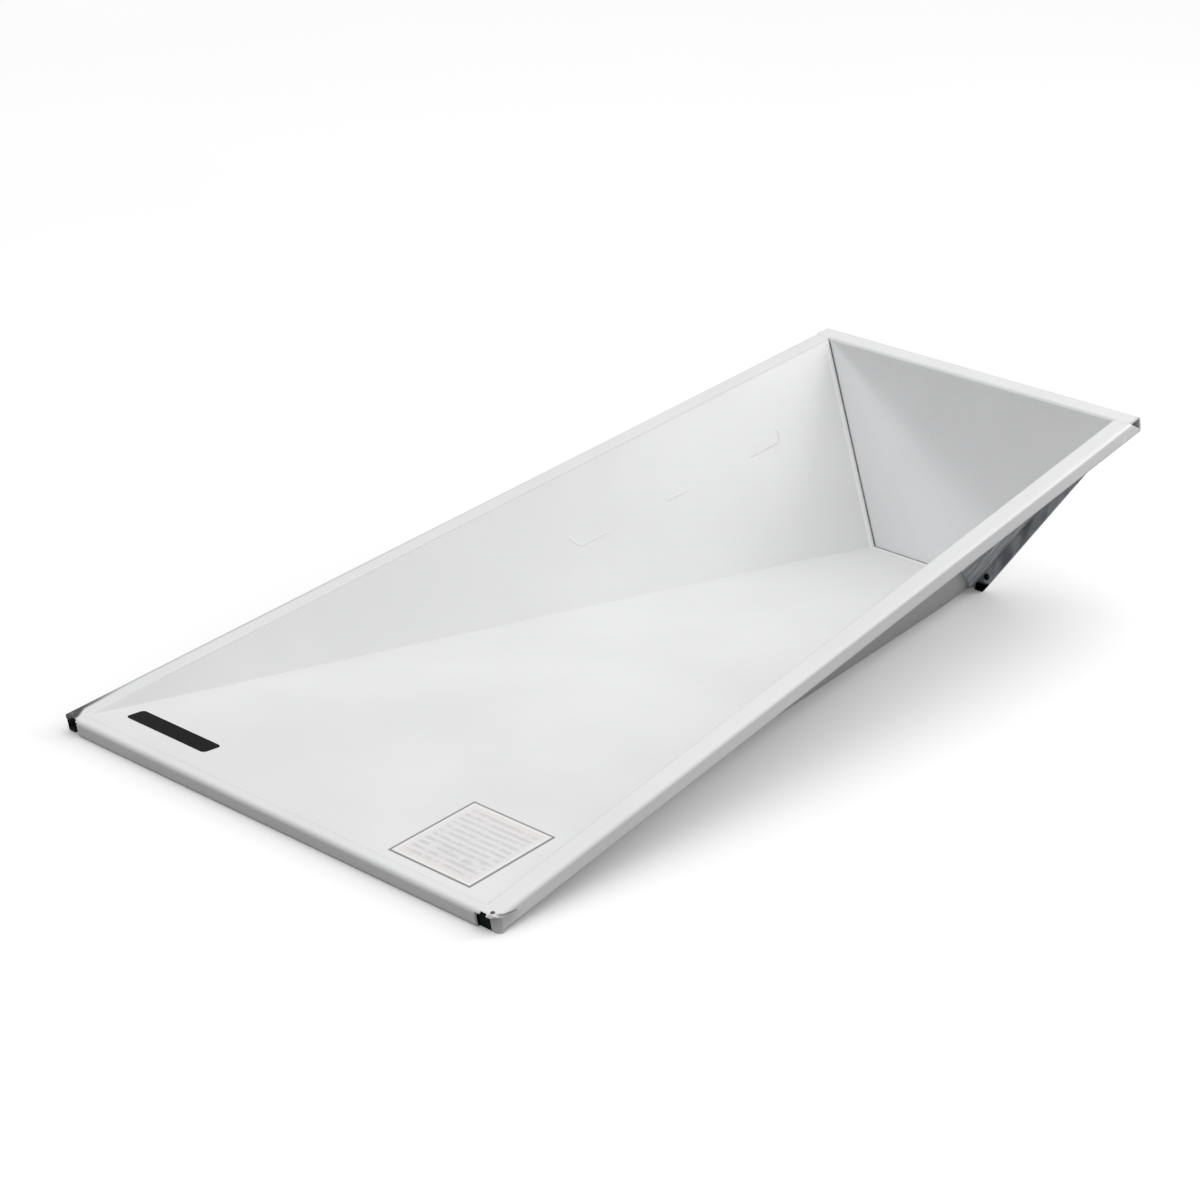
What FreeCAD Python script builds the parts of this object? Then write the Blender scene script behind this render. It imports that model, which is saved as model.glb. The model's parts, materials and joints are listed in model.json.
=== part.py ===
import FreeCAD, Part
import Sketcher
import math
import os

# A pole vault planting box: a folded sheet steel trough that is let into a runway.
# The design frame has X across the trough, Y from its front edge to its stop board and Z up,
# with the rim level at Z = 0.  Every piece is then placed by one common tilt, which lays the
# finished box on a floor: it rests on its front skirt and on the foot of the stop board.

V = FreeCAD.Vector
doc = FreeCAD.newDocument("planting_box")
sheet = doc.addObject("Spreadsheet::Sheet", "Dims")

# Driving dimensions in millimetres and degrees: (name, value, meaning).
DRIVING = [
    ("front_width", 600, "trough width where the side folds start"),
    ("rear_width", 422, "trough width at rim level, at the stop board"),
    ("foot_width", 150, "floor width at the foot of the stop board"),
    ("trough_depth", 200, "rim level down to the foot of the stop board"),
    ("base_length", 1000, "length of the sloping floor"),
    ("board_angle", 105, "angle between the floor and the stop board"),
    ("crease_station", 890, "distance back to the lower end of the wall crease"),
    ("crease_half_width", 100, "half width of the floor at that crease"),
    ("sheet_gauge", 2.5, "thickness of all the sheet steel"),
    ("side_flange", 23, "width of the side rims"),
    ("rear_flange", 23.4, "width of the rear rim"),
    ("front_land", 13, "flat strip in front of the floor"),
    ("skirt_height", 20, "height of the turned down rim skirts"),
    ("lip_width", 12, "lip returned under each skirt"),
    ("rim_bend", 5, "outside radius of the rim bends"),
    ("lip_bend", 4, "outside radius of the bend over the lip"),
    ("land_bend", 30, "radius of the gentle bend from land to floor"),
    ("strip_run", 14, "wall height that is formed with each side rim"),
    ("floor_run", 4, "floor length that is formed with the front edge"),
    ("front_skirt_left", 300, "reach of the front skirt to the left"),
    ("front_skirt_right", 296, "reach of the front skirt to the right"),
    ("skirt_setback", 4, "side skirts start this far behind the front skirt"),
    ("corner_round", 11, "radius of the rim's front corners in plan"),
    ("tab_bend", 8, "radius of the bend from side skirt to end tab"),
    ("tab_width", 10, "reach of the end tab across, from the skirt's outside"),
    ("tab_drop", 3.5, "rim level down to the end tab"),
    ("rim_joint", 3.4, "rim joint, behind the top edge of the stop board"),
    ("rear_lip_half", 214, "half length of the lip under the rear skirt"),
    ("rear_end_trim", 1.5, "rear rim's ends inside the outer edges of the side rims"),
    ("seal_gap", 2, "gap between trough and stop board"),
    ("seal_drop", 4, "rim level down to the upper ends of the seal"),
    ("board_side_margin", 21.5, "stop board beyond the trough, on each side"),
    ("board_foot_margin", 8.5, "stop board below the floor"),
    ("board_shoulder", 3.5, "rim level down to the stop board's side margins"),
    ("shoulder_clearance", 0.5, "board beyond the trough above its shoulders"),
    ("shoulder_gap", 0.1, "play between side rims and board above the shoulders"),
    ("bracket_top", 45, "rim level down to the upper end of the brackets"),
    ("bracket_toe", 958, "bracket's lower front corner, from the front"),
    ("bracket_nose", 852, "bracket's upper front corner, from the front"),
    ("bracket_nose_drop", 99, "rim level down to that upper front corner"),
    ("screw_drop_low", 193, "rim level down to the lowest screw"),
    ("screw_pitch", 115, "height between the two screws of one side"),
    ("screw_margin", 12.8, "screw axis outside the trough corner"),
    ("shank_size", 4, "screw thread diameter"),
    ("shank_hole", 4.5, "clearance hole for the screws"),
    ("screw_head", 7.6, "button head diameter"),
    ("screw_head_height", 2.2, "button head height"),
    ("screw_crown", 4, "flat top of the button head"),
    ("screw_brim", 0.5, "height of the button head's edge"),
    ("screw_chamfer", 0.5, "chamfer at the end of the thread"),
    ("screw_length", 10, "length under the head"),
    ("hex_socket", 2.5, "socket width across flats"),
    ("socket_depth", 1.3, "socket depth"),
    ("washer_size", 9, "washer diameter"),
    ("washer_gauge", 0.8, "washer thickness"),
    ("nut_size", 7, "nut width across flats"),
    ("nut_height", 3.2, "nut height"),
    ("nut_face", 6.7, "diameter of the flat of the nut's chamfered faces"),
    ("nut_chamfer", 0.4, "height of the nut's chamfer at its corners"),
    ("doubler_front", 619, "front end of the wall doublers"),
    ("doubler_rear", 945, "rear end of the wall doublers"),
    ("doubler_top", 8, "rim level down to the doublers"),
    ("doubler_foot", 68, "rim level down to the lower edge of the doublers"),
    ("doubler_corner", 12, "corner cut off the doublers"),
    ("bead_size", 5, "leg of the fillet weld beads"),
    ("tack_size", 5.4, "diameter of the tack weld"),
    ("tack_height", 1, "height of the tack weld"),
    ("tack_round", 0.6, "rounding of the tack weld"),
    ("tack_margin", 8.5, "tack weld inside the outer edge of the rim"),
    ("tack_station", 7, "tack weld behind the front edge"),
    ("label_gauge", 0.3, "thickness of label and marking"),
    ("label_width", 113, "width of the instruction label"),
    ("label_length", 136, "length of the instruction label"),
    ("label_skew", 23.5, "sideways shift of its rear edge"),
    ("label_left", 151.5, "front left corner of the label, across"),
    ("label_front", 12.5, "front edge of the label, along the floor"),
    ("mark_width", 126, "width of the plain marking"),
    ("mark_length", 24, "length of the plain marking"),
    ("mark_centre", -207, "centre of the marking, across"),
    ("mark_front", 29, "front edge of the marking, along the floor"),
    ("mark_corner", 5, "corner radius of the marking"),
]


def fill_sheet(rows):
    """Write each row as text and give its cell an alias; return the values by name."""
    values = {}
    for number, (name, value, meaning) in enumerate(rows, start=1):
        sheet.set("A%d" % number, meaning)
        sheet.set("B%d" % number, str(value))
        sheet.setAlias("B%d" % number, name)
        values[name] = value
    return values


def derived_rows(d):
    """Lengths and angles that follow from the driving dimensions."""
    floor_angle = math.asin(d["trough_depth"] / d["base_length"])
    foot_station = d["base_length"] * math.cos(floor_angle)
    board_slope = math.radians(180 - d["board_angle"]) - floor_angle
    rim_station = foot_station + d["trough_depth"] / math.tan(board_slope)
    half_taper = (d["front_width"] - d["rear_width"]) / 2
    return [
        ("floor_angle", math.degrees(floor_angle), "slope of the floor"),
        ("foot_station", foot_station, "foot of the stop board, from the front"),
        ("board_slope", math.degrees(board_slope), "slope of the stop board"),
        ("rim_station", rim_station, "top of the stop board, from the front"),
        ("rim_angle", math.degrees(math.atan2(half_taper, rim_station)), "taper of one side"),
        ("rim_length", math.hypot(half_taper, rim_station), "length of one side of the rim"),
    ]


dims = fill_sheet(DRIVING)
DERIVED = derived_rows(dims)
dims = fill_sheet(DRIVING + DERIVED)
doc.recompute()

GAUGE = dims["sheet_gauge"]
FLOOR_ANGLE = math.radians(dims["floor_angle"])
BOARD_SLOPE = math.radians(dims["board_slope"])
RIM_ANGLE = math.radians(dims["rim_angle"])
FOOT_Y = dims["foot_station"]
RIM_Y = dims["rim_station"]
REAR_Y = RIM_Y + dims["rear_flange"]
FLOOR_FALL = math.tan(FLOOR_ANGLE)
SLAB = 3000.0
CLEAR = 1.0


def corner_points(side):
    """Inner corners of one side: front, rim rear, crease foot and floor rear."""
    crease_z = -dims["crease_station"] * FLOOR_FALL
    front = V(side * dims["front_width"] / 2, 0, 0)
    top = V(side * dims["rear_width"] / 2, RIM_Y, 0)
    crease = V(side * dims["crease_half_width"], dims["crease_station"], crease_z)
    foot = V(side * dims["foot_width"] / 2, FOOT_Y, -dims["trough_depth"])
    return front, top, crease, foot


def outward_plane(a, b, c, outside):
    """A plane through three points, with its normal towards the point outside."""
    normal = (b - a).cross(c - a).normalize()
    if normal.dot(outside - a) < 0:
        normal = -normal
    return a, normal


def trough_planes():
    """The floor, both walls and both wall facets, each with an outward normal."""
    below = V(0, 0, -SLAB)
    planes = [(V(0, 0, 0), V(0, -math.sin(FLOOR_ANGLE), -math.cos(FLOOR_ANGLE)))]
    for side in (-1, 1):
        front, top, crease, foot = corner_points(side)
        outside = below + V(side * SLAB, 0, 0)
        planes.append(outward_plane(front, top, crease, outside))
        planes.append(outward_plane(top, crease, foot, outside))
    return planes


BOARD_POINT = V(0, RIM_Y, 0)
BOARD_NORMAL = V(0, math.sin(BOARD_SLOPE), -math.cos(BOARD_SLOPE))
WALL_NORMAL = trough_planes()[3][1]
WALL_TILT = math.degrees(math.acos(-WALL_NORMAL.z))


# ---------------------------------------------------------------- building blocks

def number(expression):
    """The value of an expression that names cells of the sheet."""
    value = sheet.evalExpression(expression)
    return float(getattr(value, "Value", value))


def add(kind, label):
    item = doc.addObject(kind, label)
    item.Label = label
    return item


def origin_plane(body, role):
    for item in body.Origin.OriginFeatures:
        if item.Role == role:
            return item
    raise ValueError("no plane " + role)


def polygon_sketch(body, name, role, corners, depth=0.0):
    """A closed outline whose corner coordinates are bound to the sheet."""
    sketch = body.newObject("Sketcher::SketchObject", name)
    sketch.AttachmentSupport = [(origin_plane(body, role), "")]
    sketch.MapMode = "FlatFace"
    sketch.AttachmentOffset = FreeCAD.Placement(V(0, 0, depth), FreeCAD.Rotation())
    spots = [V(number(x), number(y), 0) for x, y in corners]
    count = len(spots)
    for index in range(count):
        line = Part.LineSegment(spots[index], spots[(index + 1) % count])
        sketch.addGeometry(line, False)
    for index in range(count):
        following = (index + 1) % count
        sketch.addConstraint(Sketcher.Constraint("Coincident", index, 2, following, 1))
    for index, (x, y) in enumerate(corners):
        for kind, value, text in (("DistanceX", spots[index].x, x), ("DistanceY", spots[index].y, y)):
            place = sketch.addConstraint(Sketcher.Constraint(kind, -1, 1, index, 1, value))
            sketch.setExpression("Constraints[%d]" % place, text)
    return sketch


def pad(body, sketch, length, midplane=False, reverse=False):
    feature = body.newObject("PartDesign::Pad", sketch.Name + "_pad")
    feature.Profile = sketch
    feature.Midplane = midplane
    feature.Reversed = reverse
    feature.setExpression("Length", length)
    doc.recompute()
    return feature


def bend_fillet(body, base, along, bends, radius):
    """Round the long edges that pass through the given points, seen along one axis."""
    chosen = []
    for index, edge in enumerate(base.Shape.Edges, start=1):
        start = edge.Vertexes[0].Point
        finish = edge.Vertexes[-1].Point
        direction = finish - start
        if direction.Length < 0.01 or abs(direction.normalize().dot(along)) < 0.999:
            continue
        for spot in bends:
            offset = start - spot
            if (offset - along * offset.dot(along)).Length < 0.01:
                chosen.append("Edge%d" % index)
    if len(chosen) != len(bends):
        raise ValueError("bend edges not found on " + base.Name)
    fillet = body.newObject("PartDesign::Fillet", base.Name + "_bend")
    fillet.Base = (base, chosen)
    fillet.setExpression("Radius", radius)
    doc.recompute()
    return fillet


def box(label, low, high):
    item = add("Part::Box", label)
    item.Length = high.x - low.x
    item.Width = high.y - low.y
    item.Height = high.z - low.z
    item.Placement = FreeCAD.Placement(low, FreeCAD.Rotation())
    return item


def beyond_plane(label, point, normal, offset=0.0):
    """A large block that fills the space beyond a plane, moved out by an offset."""
    item = add("Part::Box", label)
    item.Length = SLAB
    item.Width = SLAB
    item.Height = SLAB
    turn = FreeCAD.Rotation(V(0, 0, 1), normal)
    centre = point + normal * offset
    item.Placement = FreeCAD.Placement(centre + turn.multVec(V(-SLAB / 2, -SLAB / 2, 0)), turn)
    return item


def cut(label, base, tools):
    item = add("Part::Cut", label)
    item.Base = base
    item.Tool = tools[0] if len(tools) == 1 else fuse(label + "_tools", tools)
    return item


def fuse(label, items):
    item = add("Part::MultiFuse", label)
    item.Shapes = items
    item.Refine = True
    return item


def common(label, first, second):
    item = add("Part::Common", label)
    item.Base = first
    item.Tool = second
    return item


def region(label, spread, rear):
    """The trough's space down to its planes, each moved out, as far back as the stop board."""
    half = dims["front_width"]
    block = box(label + "_block", V(-half, 0, -half), V(half, REAR_Y + half, 0))
    tools = []
    for index, (point, normal) in enumerate(trough_planes()):
        tools.append(beyond_plane("%s_beyond%d" % (label, index), point, normal, spread))
    tools.append(beyond_plane(label + "_beyond_board", BOARD_POINT, BOARD_NORMAL, rear))
    return cut(label, block, tools)


# ---------------------------------------------------------------- trough

def side_rim(side):
    """One folded side rim: wall strip, flange, skirt and lip, along the tapering side."""
    name = "rim_right" if side > 0 else "rim_left"
    body = add("PartDesign::Body", name)
    tilt = "%.9f deg" % WALL_TILT
    flange = "Dims.side_flange"
    gauge = "Dims.sheet_gauge"
    sign = "" if side > 0 else "-1 * "
    across = [
        ("-Dims.strip_run / tan(%s)" % tilt, "-Dims.strip_run"),
        ("0", "0"),
        (flange, "0"),
        (flange, "-Dims.skirt_height"),
        ("%s - Dims.lip_width" % flange, "-Dims.skirt_height"),
        ("%s - Dims.lip_width" % flange, "-Dims.skirt_height + %s" % gauge),
        ("%s - %s" % (flange, gauge), "-Dims.skirt_height + %s" % gauge),
        ("%s - %s" % (flange, gauge), "-%s" % gauge),
        ("%s * tan(%s / 2)" % (gauge, tilt), "-%s" % gauge),
        ("-Dims.strip_run / tan({0}) + {1} / sin({0})".format(tilt, gauge), "-Dims.strip_run"),
    ]
    corners = [("%s(%s)" % (sign, x), y) for x, y in across]
    outline = polygon_sketch(body, name + "_outline", "XZ_Plane", corners, dims["front_width"] / 2)
    long_pad = pad(body, outline, "Dims.rim_length + Dims.front_width", reverse=True)
    spots = [V(number(x), 0, number(z)) for x, z in corners]
    along = V(0, 1, 0)
    outer = bend_fillet(body, long_pad, along, [spots[1], spots[2]], "Dims.rim_bend")
    inner = bend_fillet(body, outer, along, [spots[7], spots[8]], "Dims.rim_bend - Dims.sheet_gauge")
    under = bend_fillet(body, inner, along, [spots[3]], "Dims.lip_bend")
    bend_fillet(body, under, along, [spots[6]], "Dims.lip_bend - Dims.sheet_gauge")
    turn = FreeCAD.Rotation(V(0, 0, 1), side * dims["rim_angle"])
    body.Placement = FreeCAD.Placement(V(side * dims["front_width"] / 2, 0, 0), turn)
    return body


def front_edge():
    """The front edge: start of the floor, flat land, skirt and lip, across the trough."""
    body = add("PartDesign::Body", "front_edge")
    slope = "Dims.floor_angle * 1 deg"
    gauge = "Dims.sheet_gauge"
    skirt = "-Dims.skirt_height"
    land = "-Dims.front_land"
    corners = [
        ("Dims.floor_run * cos(%s)" % slope, "-Dims.floor_run * sin(%s)" % slope),
        ("0", "0"),
        (land, "0"),
        (land, skirt),
        ("%s + Dims.lip_width" % land, skirt),
        ("%s + Dims.lip_width" % land, "%s + %s" % (skirt, gauge)),
        ("%s + %s" % (land, gauge), "%s + %s" % (skirt, gauge)),
        ("%s + %s" % (land, gauge), "-%s" % gauge),
        ("-%s * tan(%s / 2)" % (gauge, slope), "-%s" % gauge),
        ("Dims.floor_run * cos({0}) - {1} * sin({0})".format(slope, gauge),
         "-Dims.floor_run * sin({0}) - {1} * cos({0})".format(slope, gauge)),
    ]
    outline = polygon_sketch(body, "front_outline", "YZ_Plane", corners)
    wide_pad = pad(body, outline, "Dims.front_width + 2 * Dims.sheet_gauge", midplane=True)
    spots = [V(0, number(y), number(z)) for y, z in corners]
    along = V(1, 0, 0)
    gentle = bend_fillet(body, wide_pad, along, [spots[1]], "Dims.land_bend")
    top = bend_fillet(body, gentle, along, [spots[2]], "Dims.rim_bend")
    inner = bend_fillet(body, top, along, [spots[7]], "Dims.rim_bend - Dims.sheet_gauge")
    under = bend_fillet(body, inner, along, [spots[3]], "Dims.lip_bend")
    bend_fillet(body, under, along, [spots[6]], "Dims.lip_bend - Dims.sheet_gauge")
    notches = []
    for side, reach in ((-1, dims["front_skirt_left"]), (1, dims["front_skirt_right"])):
        inside = side * reach
        outside = side * (reach + dims["side_flange"])
        low = V(min(inside, outside), -dims["front_land"] - CLEAR, -dims["skirt_height"] - CLEAR)
        high = V(max(inside, outside), dims["lip_width"], -GAUGE)
        notches.append(box("front_notch%d" % side, low, high))
    return cut("front_edge_trimmed", body, notches)


def front_rounding():
    """What the bend of the front edge leaves off, across the whole width."""
    bend = dims["rim_bend"]
    half = dims["front_width"]
    edge = box("rounding_block", V(-half, -dims["front_land"] - CLEAR, -bend),
               V(half, -dims["front_land"] + bend, CLEAR))
    roll = add("Part::Cylinder", "rounding_roll")
    roll.setExpression("Radius", "Dims.rim_bend")
    roll.Height = 2 * half
    roll.Placement = FreeCAD.Placement(V(-half, -dims["front_land"] + bend, -bend),
                                       FreeCAD.Rotation(V(0, 1, 0), 90))
    return cut("front_rounding", edge, [roll])


def corner_rounding(side, label, front, radius_name, low, high):
    """What a rounded vertical corner leaves off, between a front line and the side's skirt."""
    radius = dims[radius_name]
    outer = dims["front_width"] / 2 + dims["side_flange"] / math.cos(RIM_ANGLE) - front * math.tan(RIM_ANGLE)
    centre_x = side * (outer - radius)
    reach = side * (outer + radius)
    block = box(label + "_block", V(min(centre_x, reach), front - radius, low),
                V(max(centre_x, reach), front + radius, high))
    post = add("Part::Cylinder", label + "_post")
    post.setExpression("Radius", "Dims." + radius_name)
    post.Height = high - low
    post.Placement = FreeCAD.Placement(V(centre_x, front + radius, low), FreeCAD.Rotation())
    return cut(label, block, [post])


def rear_relief():
    """The space that the rear rim takes: behind the joint, and down a slant to the lip."""
    body = add("PartDesign::Body", "rear_relief")
    joint = "Dims.rim_station + Dims.rim_joint"
    back = "Dims.rim_station + Dims.rear_flange"
    corners = [
        (joint, "Dims.sheet_gauge"),
        (joint, "-Dims.sheet_gauge"),
        (back, "-Dims.skirt_height + Dims.sheet_gauge"),
        ("%s + Dims.front_width" % back, "-Dims.skirt_height + Dims.sheet_gauge"),
        ("%s + Dims.front_width" % back, "Dims.sheet_gauge"),
    ]
    outline = polygon_sketch(body, "relief_outline", "YZ_Plane", corners)
    pad(body, outline, "Dims.front_width * 2", midplane=True)
    return body


def strip_channel(side):
    """The space along one side that holds the wall strip but not the skirt and lip."""
    name = "strip_channel_right" if side > 0 else "strip_channel_left"
    reach = dims["side_flange"] - dims["lip_width"] - CLEAR
    wide = 2 * dims["side_flange"]
    low = V(-wide if side > 0 else -reach, -dims["front_width"] / 2, -wide)
    high = V(reach if side > 0 else wide, dims["rim_length"], CLEAR)
    channel = box(name, low, high)
    turn = FreeCAD.Rotation(V(0, 0, 1), side * dims["rim_angle"])
    origin = V(side * dims["front_width"] / 2, 0, 0)
    channel.Placement = FreeCAD.Placement(origin + turn.multVec(low), turn)
    return channel


def trimmed_rim(side):
    """A side rim with its ends cut: flush in front, relieved and open at the rear."""
    tag = "right" if side > 0 else "left"
    low = -dims["skirt_height"] - CLEAR
    half = dims["front_width"]
    ahead = box("ahead_" + tag, V(-half, -half, low), V(half, -dims["front_land"], CLEAR))
    setback = -dims["front_land"] + dims["skirt_setback"]
    corner = box("corner_" + tag, V(-half, -half, low), V(half, setback, -GAUGE))
    below = common("below_" + tag, beyond_plane("below_floor_" + tag, *trough_planes()[0], GAUGE),
                   strip_channel(side))
    behind = box("behind_" + tag, V(-half, REAR_Y - dims["lip_bend"], low), V(half, REAR_Y + half, CLEAR))
    rear_wall = beyond_plane("rear_wall_" + tag, BOARD_POINT, BOARD_NORMAL, -dims["seal_gap"])
    wide_half = dims["rear_width"] / 2 + GAUGE * 2
    board_half = dims["rear_width"] / 2 + dims["shoulder_clearance"] + dims["shoulder_gap"]
    shoulder = -dims["board_shoulder"] + dims["shoulder_clearance"]
    under_rim = box("under_rim_" + tag, V(-wide_half, FOOT_Y, -half), V(wide_half, REAR_Y + half, shoulder))
    over_board = box("over_board_" + tag, V(-board_half, FOOT_Y, -half), V(board_half, REAR_Y + half, CLEAR))
    wall_end = common("wall_end_" + tag, rear_wall, fuse("wall_end_zone_" + tag, [under_rim, over_board]))
    rounding = corner_rounding(side, "flange_corner_" + tag, -dims["front_land"], "corner_round", low, CLEAR)
    tools = [ahead, corner, below, behind, wall_end, rear_relief(), front_rounding(), rounding]
    return cut("rim_trimmed_" + tag, side_rim(side), tools)


def end_tab():
    """The front end of the right side skirt, bent round to close the open end of the rim."""
    outer = dims["front_width"] / 2 + dims["side_flange"]
    front = -dims["front_land"] + dims["skirt_setback"]
    bend = dims["tab_bend"]
    low = -dims["skirt_height"]
    top = -dims["tab_drop"]
    flat = box("tab_flat", V(outer - dims["tab_width"], front, low), V(outer, front + GAUGE, top))
    quarter = box("tab_quarter", V(outer - bend, front, low), V(outer, front + bend, top))
    hollow = add("Part::Cylinder", "tab_hollow")
    hollow.setExpression("Radius", "Dims.tab_bend - Dims.sheet_gauge")
    hollow.Height = top - low
    hollow.Placement = FreeCAD.Placement(V(outer - bend, front + bend, low), FreeCAD.Rotation())
    return fuse("end_tab", [flat, cut("tab_round", quarter, [hollow])])


def strip_zone(side):
    """The upper part of a plain wall, which the folded rim takes over."""
    point, normal = trough_planes()[1 if side < 0 else 3]
    half = dims["front_width"]
    upper = box("upper%d" % side, V(min(0, side * half), 0, -dims["strip_run"] + CLEAR * 4),
                V(max(0, side * half), REAR_Y + half, CLEAR))
    wall = beyond_plane("wall_zone%d" % side, point, normal, 0)
    return common("strip_zone%d" % side, upper, wall)


def make_pan():
    """The trough, folded from one sheet: floor, walls, side rims and front edge."""
    outer = region("outer", GAUGE, -dims["seal_gap"])
    inner = region("inner", 0, GAUGE)
    shell = cut("shell", outer, [inner, strip_zone(-1), strip_zone(1)])
    whole = fuse("folded_sheet", [shell, front_edge(), trimmed_rim(-1), trimmed_rim(1), end_tab()])
    front = -dims["front_land"] + dims["skirt_setback"]
    low = -dims["skirt_height"] - CLEAR
    bend = corner_rounding(1, "tab_corner", front, "tab_bend", low, -GAUGE)
    return cut("pan", whole, [bend])


# ---------------------------------------------------------------- stop board

def board_side(z_text, margin="0"):
    """Across position of the trough's rear corner at a height, moved out by a margin."""
    spread = "(Dims.rear_width - Dims.foot_width) / 2 / Dims.trough_depth"
    return "Dims.rear_width / 2 + (%s) * %s + %s" % (z_text, spread, margin)


def board_sheet():
    """The stop board with the rear rim folded onto it: board, flange, skirt and lip."""
    body = add("PartDesign::Body", "board_sheet")
    gauge = "Dims.sheet_gauge"
    slope = "Dims.board_slope * 1 deg"
    top = "Dims.rim_station"
    back = "Dims.rim_station + Dims.rear_flange"
    skirt = "-Dims.skirt_height"
    foot_z = "-Dims.trough_depth - Dims.board_foot_margin"
    foot_y = "%s + (%s) / tan(%s)" % (top, foot_z, slope)
    corners = [
        (foot_y, foot_z),
        (top, "0"),
        (back, "0"),
        (back, skirt),
        ("%s - Dims.lip_width" % back, skirt),
        ("%s - Dims.lip_width" % back, "%s + %s" % (skirt, gauge)),
        ("%s - %s" % (back, gauge), "%s + %s" % (skirt, gauge)),
        ("%s - %s" % (back, gauge), "-%s" % gauge),
        ("%s + %s * tan(%s / 2)" % (top, gauge, slope), "-%s" % gauge),
        ("%s + %s * sin(%s)" % (foot_y, gauge, slope), "%s - %s * cos(%s)" % (foot_z, gauge, slope)),
    ]
    outline = polygon_sketch(body, "board_outline", "YZ_Plane", corners)
    wide_pad = pad(body, outline, "Dims.rear_width + 4 * Dims.side_flange", midplane=True)
    spots = [V(0, number(y), number(z)) for y, z in corners]
    along = V(1, 0, 0)
    outer = bend_fillet(body, wide_pad, along, [spots[1], spots[2]], "Dims.rim_bend")
    inner = bend_fillet(body, outer, along, [spots[7], spots[8]], "Dims.rim_bend - Dims.sheet_gauge")
    under = bend_fillet(body, inner, along, [spots[3]], "Dims.lip_bend")
    bend_fillet(body, under, along, [spots[6]], "Dims.lip_bend - Dims.sheet_gauge")
    return body


def beside_board(side):
    """The space beside the board: outside its margins, and above its shoulders."""
    name = "beside_board_right" if side > 0 else "beside_board_left"
    body = add("PartDesign::Body", name)
    low = "-Dims.trough_depth - 2 * Dims.skirt_height"
    shoulder = "-Dims.board_shoulder"
    half = "Dims.rear_width / 2 + Dims.shoulder_clearance"
    across = [
        (board_side(low, "Dims.board_side_margin"), low),
        (board_side(shoulder, "Dims.board_side_margin"), shoulder),
        (half, shoulder),
        (half, "Dims.skirt_height"),
        ("Dims.front_width", "Dims.skirt_height"),
        ("Dims.front_width", low),
    ]
    sign = "" if side > 0 else "-1 * "
    corners = [("%s(%s)" % (sign, x), z) for x, z in across]
    depth = -(RIM_Y + dims["rim_joint"])
    outline = polygon_sketch(body, name + "_outline", "XZ_Plane", corners, depth)
    pad(body, outline, "Dims.front_width")
    return body


def screw_spots(side):
    """Where the screws pass through the front face of the stop board."""
    spots = []
    for drop in (dims["screw_drop_low"], dims["screw_drop_low"] - dims["screw_pitch"]):
        z = -drop
        across = number(board_side("%f" % z, "Dims.screw_margin"))
        spots.append(V(side * across, RIM_Y + z / math.tan(BOARD_SLOPE), z))
    return spots


def screw_holes(label):
    """Clearance holes for all the screws, square to the stop board."""
    holes = []
    for side in (-1, 1):
        for index, spot in enumerate(screw_spots(side)):
            hole = add("Part::Cylinder", "%s%d_%d" % (label, side, index))
            hole.setExpression("Radius", "Dims.shank_hole / 2")
            hole.setExpression("Height", "Dims.screw_length * 2")
            turn = FreeCAD.Rotation(V(0, 0, 1), BOARD_NORMAL)
            start = spot - BOARD_NORMAL * dims["screw_length"]
            hole.Placement = FreeCAD.Placement(start, turn)
            holes.append(hole)
    return holes


def make_stop_board():
    """The stop board and rear rim, trimmed to the tapering sides and drilled."""
    rear_lip_end = REAR_Y - GAUGE - CLEAR / 2
    low = -dims["skirt_height"] - CLEAR
    tools = screw_holes("board_hole")
    for side in (-1, 1):
        tools.append(beside_board(side))
        normal = V(side * math.cos(RIM_ANGLE), math.sin(RIM_ANGLE), 0)
        edge = V(side * dims["front_width"] / 2, 0, 0)
        end = dims["side_flange"] - dims["rear_end_trim"]
        tools.append(beyond_plane("rear_end%d" % side, edge, normal, end))
        inside = side * dims["rear_lip_half"]
        outside = side * dims["front_width"]
        notch_low = V(min(inside, outside), FOOT_Y, low)
        notch_high = V(max(inside, outside), rear_lip_end, -dims["skirt_height"] + GAUGE + CLEAR / 2)
        notch = box("lip_notch%d" % side, notch_low, notch_high)
        behind = box("lip_zone%d" % side, V(-SLAB, RIM_Y + dims["rim_joint"], low), V(SLAB, SLAB, 0))
        tools.append(common("lip_cut%d" % side, notch, behind))
    return cut("stop_board", board_sheet(), tools)


def make_board_seal():
    """The dark seal in the gap between the trough's rear edge and the stop board."""
    outer = region("seal_outer", GAUGE, 0)
    inner = region("seal_inner", 0, GAUGE)
    ahead = region("seal_ahead", 2 * GAUGE, -dims["seal_gap"])
    half = dims["front_width"]
    top = box("seal_top", V(-half, 0, -dims["seal_drop"]), V(half, REAR_Y, CLEAR))
    return cut("board_seal", outer, [inner, ahead, top])


# ---------------------------------------------------------------- brackets and doublers

def side_view_block(name, corners, side):
    """One side's space within an outline drawn in side view."""
    body = add("PartDesign::Body", name)
    outline = polygon_sketch(body, name + "_outline", "YZ_Plane", corners)
    pad(body, outline, "Dims.front_width", reverse=side < 0)
    return body


def wall_skin(label):
    """A second layer of sheet against the outside of the trough."""
    outer = region(label + "_outer", 2 * GAUGE, 0)
    inner = region(label + "_inner", GAUGE, 2 * GAUGE)
    return cut(label, outer, [inner])


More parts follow.
